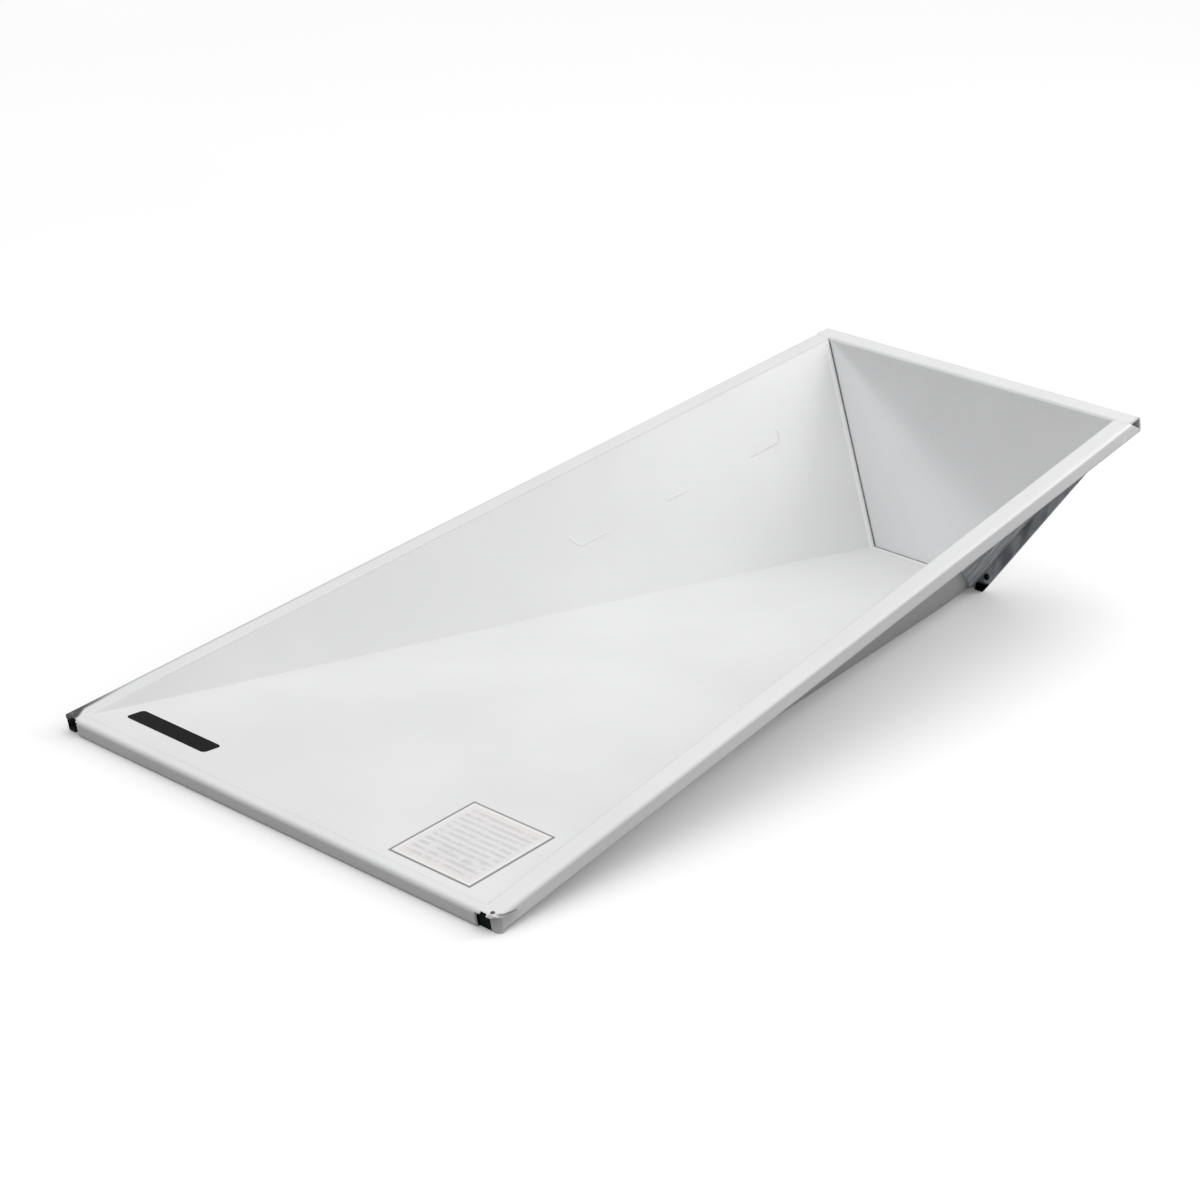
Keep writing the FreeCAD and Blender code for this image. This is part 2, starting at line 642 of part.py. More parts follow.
def make_bracket(side):
    """A corner bracket: one leg on the wall, one leg against the stop board's margin."""
    tag = "right" if side > 0 else "left"
    slope = "Dims.board_slope * 1 deg"
    fall = "tan(Dims.floor_angle * 1 deg)"
    under = "Dims.sheet_gauge / cos(Dims.floor_angle * 1 deg)"
    low = "-Dims.trough_depth"
    rear_low = "Dims.rim_station + (%s) / tan(%s)" % (low, slope)
    gusset = [
        ("%s + Dims.sheet_gauge" % rear_low, "-(%s) * %s - %s" % (rear_low, fall, under)),
        ("Dims.bracket_toe", "-Dims.bracket_toe * %s - %s" % (fall, under)),
        ("Dims.bracket_nose", "-Dims.bracket_nose_drop"),
        ("Dims.rim_station - Dims.bracket_top / tan(%s)" % slope, "-Dims.bracket_top"),
    ]
    leg = common("wall_leg_" + tag, wall_skin("bracket_skin_" + tag),
                 side_view_block("gusset_" + tag, gusset, side))
    sign = "" if side > 0 else "-1 * "
    top = "-Dims.bracket_top"
    foot = "-Dims.trough_depth - Dims.board_foot_margin"
    inside = "Dims.foot_width / 2 + 2 * Dims.sheet_gauge"
    across = [
        (inside, "-Dims.trough_depth"),
        (inside, foot),
        (board_side(foot, "Dims.board_side_margin"), foot),
        (board_side(top, "Dims.board_side_margin"), top),
        ("0", top),
    ]
    corners = [("%s(%s)" % (sign, x), z) for x, z in across]
    block = add("PartDesign::Body", "board_leg_block_" + tag)
    outline = polygon_sketch(block, "board_leg_outline_" + tag, "XZ_Plane", corners, -FOOT_Y / 2)
    pad(block, outline, "Dims.front_width * 2", reverse=True)
    ahead = beyond_plane("leg_front_" + tag, BOARD_POINT, -BOARD_NORMAL, GAUGE)
    behind = beyond_plane("leg_back_" + tag, BOARD_POINT, BOARD_NORMAL, 0)
    trough = region("leg_inside_" + tag, GAUGE, GAUGE)
    flat = cut("board_leg_" + tag, block, [ahead, behind, trough])
    whole = fuse("bracket_" + tag, [leg, flat])
    return cut("rear_bracket_" + tag, whole, screw_holes("bracket_hole_" + tag))


def doubler_outline(body, name):
    """The doubler's outline in side view: a rectangle with its lower corners cut off."""
    corner = "Dims.doubler_corner"
    front = "Dims.doubler_front"
    rear = "Dims.doubler_rear"
    top = "-Dims.doubler_top"
    foot = "-Dims.doubler_foot"
    corners = [
        (front, top),
        (front, "%s + %s" % (foot, corner)),
        ("%s + %s" % (front, corner), foot),
        ("%s - %s" % (rear, corner), foot),
        (rear, "%s + %s" % (foot, corner)),
        (rear, top),
    ]
    return polygon_sketch(body, name, "YZ_Plane", corners)


def make_doubler(side):
    """A plate welded to the outside of a wall, under the rim."""
    tag = "right" if side > 0 else "left"
    body = add("PartDesign::Body", "doubler_block_" + tag)
    outline = doubler_outline(body, "doubler_outline_" + tag)
    pad(body, outline, "Dims.front_width", reverse=side < 0)
    return common("wall_doubler_" + tag, wall_skin("doubler_skin_" + tag), body)


# Where each bead begins and ends, as parts of the doubler's length.
BEADS = ((0.04, 0.20), (0.42, 0.54), (0.82, 0.96))


def wall_point(side, y, z):
    """A point of the wall's outside at a station and height."""
    point, normal = trough_planes()[1 if side < 0 else 3]
    surface = point + normal * GAUGE
    x = surface.x - (normal.y * (y - surface.y) + normal.z * (z - surface.z)) / normal.x
    return V(x, y, z)


def make_weld_beads(side):
    """Short fillet welds along the lower edge of a doubler, each its own solid."""
    tag = "right" if side > 0 else "left"
    span = dims["doubler_rear"] - dims["doubler_front"]
    leg = dims["bead_size"]
    normal = trough_planes()[1 if side < 0 else 3][1]
    beads = []
    for begin, end in BEADS:
        start = wall_point(side, dims["doubler_front"] + begin * span, -dims["doubler_foot"])
        finish = wall_point(side, dims["doubler_front"] + end * span, -dims["doubler_foot"])
        along = (finish - start).normalize()
        down = normal.cross(along).normalize()
        if down.z > 0:
            down = -down
        corners = [start, start + down * leg, start + normal * GAUGE, start]
        face = Part.Face(Part.makePolygon(corners))
        beads.append(face.extrude(finish - start))
    return solid_group("doubler_welds_" + tag, beads)


def solid_group(label, shapes):
    item = add("Part::Feature", label)
    item.Shape = Part.makeCompound(shapes)
    return item


# ---------------------------------------------------------------- fasteners

def hexagon(size):
    """The corners of a hexagon with the given width across flats, as sheet expressions."""
    corners = []
    for index in range(6):
        angle = "%d deg" % (60 * index)
        corners.append(("%s / 2 / cos(30 deg) * cos(%s)" % (size, angle),
                        "%s / 2 / cos(30 deg) * sin(%s)" % (size, angle)))
    return corners


def turned(body, name, corners):
    """A solid turned about the body's Z axis from half of its outline."""
    outline = polygon_sketch(body, name + "_outline", "XZ_Plane", corners)
    feature = body.newObject("PartDesign::Revolution", name + "_turned")
    feature.Profile = outline
    feature.ReferenceAxis = (outline, ["V_Axis"])
    feature.Angle = 360
    doc.recompute()
    return feature


def screw_pattern():
    """A button head screw with a hexagon socket, its head on -Z and its shank on +Z."""
    body = add("PartDesign::Body", "screw_pattern")
    half = "Dims.shank_size / 2"
    corners = [
        ("0", "-Dims.screw_head_height"),
        ("Dims.screw_crown / 2", "-Dims.screw_head_height"),
        ("Dims.screw_head / 2", "-Dims.screw_brim"),
        ("Dims.screw_head / 2", "0"),
        (half, "0"),
        (half, "Dims.screw_length - Dims.screw_chamfer"),
        ("%s - Dims.screw_chamfer" % half, "Dims.screw_length"),
        ("0", "Dims.screw_length"),
    ]
    blank = turned(body, "screw", corners)
    socket = polygon_sketch(body, "socket_outline", "XY_Plane", hexagon("Dims.hex_socket"),
                            -dims["screw_head_height"])
    recess = body.newObject("PartDesign::Pocket", "screw_socket")
    recess.Profile = socket
    recess.Reversed = True
    recess.setExpression("Length", "Dims.socket_depth")
    doc.recompute()
    if recess.Shape.Volume >= blank.Shape.Volume - CLEAR:
        raise ValueError("the socket cuts nothing")
    return body


def washer_pattern():
    outer = add("Part::Cylinder", "washer_disc")
    outer.setExpression("Radius", "Dims.washer_size / 2")
    outer.setExpression("Height", "Dims.washer_gauge")
    bore = add("Part::Cylinder", "washer_bore")
    bore.setExpression("Radius", "Dims.shank_hole / 2")
    bore.setExpression("Height", "Dims.washer_gauge")
    return cut("washer_pattern", outer, [bore])


def nut_pattern():
    """A plain hexagon nut, chamfered on both faces."""
    hexagonal = add("PartDesign::Body", "nut_body")
    outline = polygon_sketch(hexagonal, "nut_outline", "XY_Plane", hexagon("Dims.nut_size"))
    pad(hexagonal, outline, "Dims.nut_height")
    corner = "Dims.nut_size / 2 / cos(30 deg)"
    corners = [
        ("0", "0"),
        ("Dims.nut_face / 2", "0"),
        (corner, "Dims.nut_chamfer"),
        (corner, "Dims.nut_height - Dims.nut_chamfer"),
        ("Dims.nut_face / 2", "Dims.nut_height"),
        ("0", "Dims.nut_height"),
    ]
    chamfered = add("PartDesign::Body", "nut_chamfers")
    turned(chamfered, "nut", corners)
    bore = add("Part::Cylinder", "nut_bore")
    bore.setExpression("Radius", "Dims.shank_size / 2")
    bore.setExpression("Height", "Dims.nut_height")
    return cut("nut_pattern", common("nut_blank", hexagonal, chamfered), [bore])


def at_screws(label, pattern, offset):
    """Copies of a pattern at every screw, pushed along the screws from the board's face."""
    doc.recompute()
    turn = FreeCAD.Rotation(V(0, 0, 1), BOARD_NORMAL)
    copies = []
    for side in (-1, 1):
        for spot in screw_spots(side):
            copy = pattern.Shape.copy()
            copy.Placement = FreeCAD.Placement(spot + BOARD_NORMAL * offset, turn)
            copies.append(copy)
    return solid_group(label, copies)


# ---------------------------------------------------------------- tack weld, label and marking

def make_corner_tack():
    """A small tack weld on the right rim, where it meets the front edge."""
    tack = Part.makeCylinder(dims["tack_size"] / 2, dims["tack_height"])
    tack = tack.makeFillet(dims["tack_round"], [tack.Edges[0]])
    across = dims["front_width"] / 2 + dims["side_flange"] - dims["tack_margin"]
    tack.Placement = FreeCAD.Placement(V(across, -dims["front_land"] + dims["tack_station"], 0),
                                       FreeCAD.Rotation())
    return solid_group("corner_tack_weld", [tack])


def floor_placement():
    """The floor's own frame: Y down the floor, Z square to it."""
    turn = FreeCAD.Rotation(V(1, 0, 0), -dims["floor_angle"])
    return FreeCAD.Placement(V(0, 0, 0), turn)


def make_label():
    """The instruction label: a thin sheet whose sides lean with the trough's right side."""
    body = add("PartDesign::Body", "instruction_label")
    left = "Dims.label_left"
    front = "Dims.label_front"
    rear = "Dims.label_front + Dims.label_length"
    corners = [
        (left, front),
        ("%s + Dims.label_width" % left, front),
        ("%s + Dims.label_width - Dims.label_skew" % left, rear),
        ("%s - Dims.label_skew" % left, rear),
    ]
    outline = polygon_sketch(body, "label_outline", "XY_Plane", corners)
    pad(body, outline, "Dims.label_gauge")
    return body


def make_mark():
    """The plain dark marking at the front left: a bar with rounded ends."""
    body = add("PartDesign::Body", "front_marking")
    left = "Dims.mark_centre - Dims.mark_width / 2"
    right = "Dims.mark_centre + Dims.mark_width / 2"
    front = "Dims.mark_front"
    rear = "Dims.mark_front + Dims.mark_length"
    corners = [(left, front), (right, front), (right, rear), (left, rear)]
    outline = polygon_sketch(body, "mark_outline", "XY_Plane", corners)
    flat = pad(body, outline, "Dims.label_gauge")
    spots = [V(number(x), number(y), 0) for x, y in corners]
    bend_fillet(body, flat, V(0, 0, 1), spots, "Dims.mark_corner")
    return body


# ---------------------------------------------------------------- assembly

def resting_placement(shapes):
    """The tilt and shift that lay the box on a floor, centred over the origin."""
    front_foot = V(0, -dims["front_land"] + dims["lip_bend"], -dims["skirt_height"] + dims["lip_bend"])
    foot_z = -dims["trough_depth"] - dims["board_foot_margin"]
    board_foot = V(0, RIM_Y + foot_z / math.tan(BOARD_SLOPE), foot_z) + BOARD_NORMAL * GAUGE
    reach = board_foot - front_foot
    tilt = math.degrees(math.atan2(-reach.z, reach.y) - math.asin(dims["lip_bend"] / reach.Length))
    turn = FreeCAD.Rotation(V(1, 0, 0), tilt)
    turned = []
    for shape in shapes:
        copy = shape.copy()
        copy.Placement = FreeCAD.Placement(V(0, 0, 0), turn).multiply(copy.Placement)
        turned.append(copy)
    bounds = Part.makeCompound(turned).optimalBoundingBox(False)
    print("tilt %.3f" % tilt, "bounds", bounds)
    shift = V(0, -(bounds.YMin + bounds.YMax) / 2, -bounds.ZMin)
    return FreeCAD.Placement(shift, turn)


def check(item):
    """Stop if an object failed or its shape can't be used."""
    if "Invalid" in item.State or "Error" in item.State:
        raise ValueError("%s failed: %s" % (item.Label, item.State))
    if hasattr(item, "Shape") and item in NODES:
        if item.Shape.isNull() or not item.Shape.isValid() or item.Shape.Volume <= 0:
            raise ValueError(item.Label + " has no valid shape")


screws = screw_pattern()
washers = washer_pattern()
nuts = nut_pattern()
under_head = -GAUGE
behind_board = GAUGE

NODES = [
    make_pan(),
    make_stop_board(),
    make_board_seal(),
    make_bracket(-1),
    make_bracket(1),
    make_doubler(-1),
    make_doubler(1),
    make_weld_beads(-1),
    make_weld_beads(1),
    at_screws("bracket_screws", screws, under_head),
    at_screws("bracket_washers", washers, behind_board),
    at_screws("bracket_nuts", nuts, behind_board + dims["washer_gauge"]),
    make_corner_tack(),
]
FLOOR_NODES = [make_label(), make_mark()]
for item in FLOOR_NODES:
    item.Placement = floor_placement()
NODES += FLOOR_NODES

doc.recompute()
REST = resting_placement([item.Shape for item in NODES])
for item in NODES:
    item.Placement = REST.multiply(item.Placement)
doc.recompute()
for item in doc.Objects:
    check(item)

os.makedirs("parts", exist_ok=True)
for item in NODES:
    item.Shape.exportStep("parts/%s.step" % item.Label)
    print(item.Label, len(item.Shape.Solids), "%.0f mm3" % item.Shape.Volume)
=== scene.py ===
"""A pole vault planting box in a plain studio: white powder coated sheet steel on slate brackets."""

import json
import math

import bmesh
import bpy
from mathutils import Matrix, Vector, noise


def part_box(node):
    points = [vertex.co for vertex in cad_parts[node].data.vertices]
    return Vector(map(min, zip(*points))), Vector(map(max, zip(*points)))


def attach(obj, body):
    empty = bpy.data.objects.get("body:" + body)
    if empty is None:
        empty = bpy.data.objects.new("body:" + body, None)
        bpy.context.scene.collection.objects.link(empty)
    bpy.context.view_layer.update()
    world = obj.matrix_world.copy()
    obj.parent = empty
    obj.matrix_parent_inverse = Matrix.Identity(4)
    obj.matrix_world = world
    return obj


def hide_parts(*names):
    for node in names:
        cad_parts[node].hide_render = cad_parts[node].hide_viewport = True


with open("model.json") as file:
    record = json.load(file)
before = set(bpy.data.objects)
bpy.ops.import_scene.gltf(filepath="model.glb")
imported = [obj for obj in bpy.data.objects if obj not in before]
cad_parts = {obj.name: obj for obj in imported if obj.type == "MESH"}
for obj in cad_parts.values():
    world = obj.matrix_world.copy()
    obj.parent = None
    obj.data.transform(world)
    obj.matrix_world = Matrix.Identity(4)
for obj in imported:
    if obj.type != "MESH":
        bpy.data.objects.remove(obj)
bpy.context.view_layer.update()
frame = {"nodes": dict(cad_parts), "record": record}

MM = 0.001
BODY = "root"
NODES = frame["nodes"]
MOUNTS = {mount["name"]: mount for mount in frame["record"]["mounts"]}

# The plane of the rims and the trough's floor, as the record's mounts give them.
RIM_UP = Vector(MOUNTS["rim_level"]["axis"])
RIM_POINT = Vector(MOUNTS["rim_level"]["pos_m"])
FLOOR_UP = -Vector(MOUNTS["floor_underside"]["axis"])
ACROSS = Vector((1, 0, 0))
RIM_ALONG = RIM_UP.cross(ACROSS)
FLOOR_ALONG = FLOOR_UP.cross(ACROSS)
GAUGE = 2.5 * MM
SKIRT = 20 * MM
FLANGE = 23 * MM
REAR_FLANGE = 23.4 * MM
RIM_JOINT = 3.4 * MM  # from the board's upper edge back to the joint of the rims
WALL_LEAN = 0.697  # how far a wall runs outward for each unit of height
BOARD_SLOPE = math.radians(63.46)
BOARD_OUT = RIM_ALONG * math.sin(BOARD_SLOPE) - RIM_UP * math.cos(BOARD_SLOPE)
BOARD_HALF = 211 * MM  # half width of the trough at the board's upper edge
BOARD_TAPER = 0.68  # how much that half width grows for each unit of height
BOARD_FOOT = -200 * MM  # the board's foot, from the level of the rims

# The right front corner, across: the left ends of its opening, its end tab and its marks.
OPENING = 285 * MM
END_TAB = 312.8 * MM
SCUFFS = 313.5 * MM


def rim_points(node):
    """A CAD node's corners as distances across, along and above the plane of the rims."""
    return [Vector((v.co.x, (v.co - RIM_POINT).dot(RIM_ALONG), (v.co - RIM_POINT).dot(RIM_UP)))
            for v in NODES[node].data.vertices]


def from_rim(place):
    """The point at given distances across, along and above the plane of the rims."""
    return RIM_POINT + ACROSS * place[0] + RIM_ALONG * place[1] + RIM_UP * place[2]


# The reach of the right rim's outer edge, from its front to its rear.
PAN_POINTS = rim_points("pan")
FRONT = min(p.y for p in PAN_POINTS)
REAR = max(p.y for p in PAN_POINTS)
FRONT_REACH = max(p.x for p in PAN_POINTS)
REAR_REACH = max(p.x for p in PAN_POINTS if p.y > REAR - MM)
TAPER = (FRONT_REACH - REAR_REACH) / (REAR - FRONT)
BOARD_TOP = from_rim((0, REAR - REAR_FLANGE, 0))


# ---------------------------------------------------------------- node graphs

class Graph:
    """A material's node tree, with short calls for the nodes that the finishes share."""

    def __init__(self, name):
        self.material = bpy.data.materials.new(name)
        self.material.use_nodes = True
        self.tree = self.material.node_tree
        self.shader = self.tree.nodes["Principled BSDF"]
        self.place = self.node("ShaderNodeTexCoord").outputs["Object"]

    def node(self, kind, **settings):
        made = self.tree.nodes.new(kind)
        for key, value in settings.items():
            setattr(made, key, value)
        return made

    def link(self, source, target):
        self.tree.links.new(source, target)

    def put(self, target, value):
        """Links a socket, or sets a plain value."""
        if isinstance(value, bpy.types.NodeSocket):
            self.link(value, target)
        else:
            target.default_value = value

    def stretch(self, scale, place=None, turn=(0, 0, 0)):
        mapping = self.node("ShaderNodeMapping")
        self.link(place or self.place, mapping.inputs["Vector"])
        mapping.inputs["Scale"].default_value = scale
        mapping.inputs["Rotation"].default_value = turn
        return mapping.outputs["Vector"]

    def noise(self, scale, detail=3.0, rough=0.5, place=None):
        """Noise with this many features to the metre."""
        made = self.node("ShaderNodeTexNoise")
        self.link(place or self.place, made.inputs["Vector"])
        made.inputs["Scale"].default_value = scale
        made.inputs["Detail"].default_value = detail
        made.inputs["Roughness"].default_value = rough
        return made.outputs["Fac"]

    def math(self, operation, first, second=0.0, third=0.0, clamp=False):
        made = self.node("ShaderNodeMath", operation=operation, use_clamp=clamp)
        for socket, value in zip(made.inputs, (first, second, third)):
            self.put(socket, value)
        return made.outputs["Value"]

    def ramp(self, value, low, high, out_low=0.0, out_high=1.0):
        made = self.node("ShaderNodeMapRange", interpolation_type="SMOOTHSTEP")
        for key, socket in (("Value", value), ("From Min", low), ("From Max", high),
                            ("To Min", out_low), ("To Max", out_high)):
            self.put(made.inputs[key], socket)
        return made.outputs["Result"]

    def blend(self, share, first, second):
        """A colour between two, by a share from 0 to 1."""
        made = self.node("ShaderNodeMix", data_type="RGBA")
        self.put(made.inputs["Factor"], share)
        for name, value in (("A", first), ("B", second)):
            socket = next(s for s in made.inputs if s.name == name and s.type == "RGBA")
            self.put(socket, value if isinstance(value, bpy.types.NodeSocket) else (*value, 1.0))
        return next(s for s in made.outputs if s.type == "RGBA")

    def bump(self, height, distance, strength=1.0, normal=None):
        made = self.node("ShaderNodeBump")
        made.inputs["Strength"].default_value = strength
        made.inputs["Distance"].default_value = distance
        self.link(height, made.inputs["Height"])
        if normal is not None:
            self.link(normal, made.inputs["Normal"])
        return made.outputs["Normal"]

    def along(self, direction, origin):
        """Distance from an origin along a direction, in metres."""
        shift = self.node("ShaderNodeVectorMath", operation="SUBTRACT")
        self.link(self.place, shift.inputs[0])
        shift.inputs[1].default_value = origin
        dot = self.node("ShaderNodeVectorMath", operation="DOT_PRODUCT")
        self.link(shift.outputs["Vector"], dot.inputs[0])
        dot.inputs[1].default_value = direction
        return dot.outputs["Value"]

    def band(self, value, low, high, soft):
        """1 between two limits, falling to 0 outside them over a soft edge."""
        rise = self.ramp(value, low - soft / 2, low + soft / 2)
        fall = self.ramp(value, high - soft / 2, high + soft / 2, 1.0, 0.0)
        return self.math("MULTIPLY", rise, fall)

    def both(self, first, *others):
        for other in others:
            first = self.math("MULTIPLY", first, other)
        return first

    def rim_axes(self):
        """Distances across, along and above the plane of the rims."""
        return tuple(self.along(direction, RIM_POINT) for direction in (ACROSS, RIM_ALONG, RIM_UP))

    def finish(self, colour, roughness, normal=None, **constants):
        self.put(self.shader.inputs["Base Color"], colour)
        self.put(self.shader.inputs["Roughness"], roughness)
        if normal is not None:
            self.link(normal, self.shader.inputs["Normal"])
        for key, value in constants.items():
            self.shader.inputs[key.replace("_", " ")].default_value = value
        return self.material


# ---------------------------------------------------------------- materials

def powder_coat(name, tone, speckle, dust, roughness, peel, marks=(), **shader):
    """Powder coat: soft clouding, fine speckle and orange peel over slightly wavy sheet."""
    g = Graph(name)
    cloud = g.noise(5.0, 4.0)
    grain = g.noise(900.0, 2.0, 0.7)
    dusty = g.ramp(g.noise(28.0, 6.0, 0.65), 0.55, 0.8)
    pale, deep, speck = (tuple(c * share for c in tone) for share in (1.02, 0.965, 0.72))
    colour = g.blend(g.ramp(cloud, 0.3, 0.7), deep, pale)
    colour = g.blend(g.math("MULTIPLY", g.ramp(grain, 0.35, 0.75), speckle), colour, speck)
    colour = g.blend(g.math("MULTIPLY", dusty, dust), colour, (0.62, 0.60, 0.56))
    for mark in marks:
        share, shade = mark(g)
        colour = g.blend(share, colour, shade)
    rough = g.math("ADD", roughness, g.math("MULTIPLY", dusty, 2 * dust))
    normal = g.bump(g.noise(4.0, 1.0), 1.2 * MM, 0.35)
    normal = g.bump(g.noise(420.0, 2.0, 0.5), peel, 0.6, normal)
    return g.finish(colour, rough, normal, **shader)


def untapered(g, x, y):
    """Distance across, with the taper of the side rims taken out: their outer edge is at FRONT_REACH."""
    return g.math("ADD", g.math("ABSOLUTE", x), g.math("MULTIPLY", g.math("SUBTRACT", y, FRONT), TAPER))


def rim_hollows(g, out, x, y, z):
    """Both ends of the hollows under the side rims, between skirt and wall."""
    hollow = g.band(z, -SKIRT + 0.8 * GAUGE, -0.8 * GAUGE, 0.3 * MM)
    off_wall = g.math("SUBTRACT", out, g.math("MULTIPLY", z, WALL_LEAN))
    clear = g.ramp(off_wall, FRONT_REACH - FLANGE + 0.5 * GAUGE, FRONT_REACH - FLANGE + 0.8 * GAUGE)
    behind_tab = g.math("MULTIPLY", g.ramp(x, 0.0, 10 * MM), 3.7 * MM)
    behind_skirt = g.ramp(g.math("SUBTRACT", y, behind_tab), FRONT + 2.8 * MM, FRONT + 3.2 * MM)
    ends = g.math("MAXIMUM", g.ramp(y, FRONT + 40 * MM, FRONT + 90 * MM, 1.0, 0.0),
                  g.ramp(y, REAR - 90 * MM, REAR - 50 * MM))
    return g.both(hollow, clear, behind_skirt, ends)


def corner_opening(g, x, y, z):
    """The inside of the opening at the right front corner, without the back of its end tab."""
    opening = g.both(g.ramp(x, OPENING - MM, OPENING + MM),
                     g.band(y, FRONT + 2.8 * MM, FRONT + 19 * MM, 0.4 * MM),
                     g.band(z, -SKIRT + 0.2 * MM, -0.8 * GAUGE, 0.2 * MM))
    tab = g.both(g.ramp(x, END_TAB - 0.1 * MM, END_TAB + 0.1 * MM),
                 g.ramp(y, FRONT + 6.6 * MM, FRONT + 6.7 * MM, 1.0, 0.0))
    return g.math("MULTIPLY", opening, g.math("SUBTRACT", 1.0, tab))


def painted_hollow_shade(g):
    """Painted shade: near black in the open ends of the folded rims and in the right front corner's
    opening.
    """
    x, y, z = g.rim_axes()
    out = untapered(g, x, y)
    within = g.ramp(out, FRONT_REACH - 0.9 * GAUGE, FRONT_REACH - 0.7 * GAUGE, 1.0, 0.0)
    hollow = g.math("MAXIMUM", rim_hollows(g, out, x, y, z), corner_opening(g, x, y, z))
    shade = g.blend(g.noise(300.0, 3.0), (0.004, 0.006, 0.006), (0.012, 0.020, 0.018))
    return g.math("MULTIPLY", hollow, within), shade


def above_slit(g):
    """Height above the slanted line of the slit at the front of the right rim."""
    x, y, z = g.rim_axes()
    slope = g.math("MULTIPLY", g.math("SUBTRACT", y, FRONT + 10 * MM), 0.28)
    wander = g.math("MULTIPLY", g.math("SUBTRACT", g.noise(180.0, 3.0), 0.5), 2.0 * MM)
    return g.math("ADD", g.math("ADD", g.math("ADD", z, slope), wander), 1.4 * MM)


def slit(g):
    """A short dark slit that runs down across the bend of the right rim, at its front end."""
    x, y, z = g.rim_axes()
    run = g.band(y, FRONT + 7 * MM, FRONT + 30 * MM, 5 * MM)
    line = g.band(above_slit(g), -0.7 * MM, 0.7 * MM, 0.9 * MM)
    share = g.both(line, run, g.ramp(x, SCUFFS - MM, SCUFFS + MM))
    return g.math("MULTIPLY", share, 0.75), (0.06, 0.06, 0.065)


def painted_corner_shade(g):
    """Painted shade: grey below the slit, around the rounded front end of the right rim."""
    x, y, z = g.rim_axes()
    run = g.ramp(y, FRONT + 18 * MM, FRONT + 42 * MM, 1.0, 0.0)
    below = g.ramp(above_slit(g), -0.9 * MM, -0.1 * MM, 1.0, 0.0)
    share = g.both(below, run, g.ramp(x, SCUFFS - MM, SCUFFS + MM), g.ramp(z, -SKIRT, -6 * MM, 0.25, 1.0))
    return g.math("MULTIPLY", share, 0.6), (0.40, 0.40, 0.41)


def dark_left_rim_edge(g):
    """A dark band on the outer bend of the left rim, thinning out away from the front corner."""
    x, y, z = g.rim_axes()
    near = g.ramp(y, FRONT + 10 * MM, FRONT + 110 * MM, 1.0, 0.0)
    far = g.ramp(y, FRONT + 200 * MM, FRONT + 800 * MM, 0.35, 0.0)
    out = g.math("SUBTRACT", g.math("MULTIPLY", g.math("SUBTRACT", y, FRONT), TAPER), x)
    tip = g.ramp(y, FRONT + 4 * MM, FRONT + 24 * MM, 1.0, 0.0)
    reach = g.math("ADD", g.math("MULTIPLY", near, 4 * MM), g.math("MULTIPLY", tip, 9 * MM))
    spread = g.math("ADD", out, reach)
    edge = g.ramp(spread, FRONT_REACH - 7.5 * MM, FRONT_REACH - 3.0 * MM)
    patchy = g.ramp(g.noise(90.0, 4.0), 0.2, 0.5, 0.7, 1.0)
    return g.both(g.math("MAXIMUM", near, far), edge, g.math("MAXIMUM", patchy, tip)), (0.03, 0.032, 0.035)


def rear_joint_grime(g):
    """Thin grime beside the joints of the rims at the rear."""
    x, y, z = g.rim_axes()
    behind = g.math("SUBTRACT", y, REAR - REAR_FLANGE + RIM_JOINT)
    line = g.band(behind, -1.2 * MM, 0.4 * MM, 1.2 * MM)
    return g.math("MULTIPLY", g.both(line, g.ramp(z, -1.5 * MM, -0.2 * MM)), 0.25), (0.35, 0.35, 0.35)


def painted_fold_shade(g):
    """Painted shade: a soft darker line along the inner fold of both side rims."""
    x, y, z = g.rim_axes()
    fold = g.band(untapered(g, x, y), FRONT_REACH - FLANGE - 2.2 * MM, FRONT_REACH - FLANGE + MM, 2 * MM)
    share = g.both(fold, g.ramp(z, -2.2 * MM, -1.6 * MM), g.ramp(y, FRONT + 40 * MM, FRONT + 160 * MM))
    return g.math("MULTIPLY", share, 0.32), (0.55, 0.55, 0.555)


def painted_rear_edge_highlight(g):
    """Painted highlight: a pale band along the trough's rear edge, beside the seal."""
    x, y, z = g.rim_axes()
    edge = g.band(g.along(BOARD_OUT, BOARD_TOP), -4.2 * MM, -1.0 * MM, 0.8 * MM)
    return g.math("MULTIPLY", g.both(edge, g.ramp(z, -9 * MM, -6 * MM, 1.0, 0.0)), 0.9), (0.97, 0.97, 0.97)


def painted_joint_shade(g):
    """Painted shade on the front of the stop board, along its joint with the trough."""
    x, y, z = g.rim_axes()
    out = g.math("SUBTRACT", g.math("ABSOLUTE", x), g.math("MULTIPLY", z, BOARD_TAPER))
    beside = g.band(out, BOARD_HALF - 2.6 * MM, BOARD_HALF + MM, 1.6 * MM)
    below = g.band(z, BOARD_FOOT - MM, BOARD_FOOT + 1.6 * MM, 1.2 * MM)
    front = g.ramp(g.along(BOARD_OUT, BOARD_TOP), 0.3 * MM, 0.6 * MM, 1.0, 0.0)
    share = g.math("MULTIPLY", g.math("MAXIMUM", beside, below), front)
    return g.math("MULTIPLY", share, 0.75), (0.26, 0.27, 0.28)


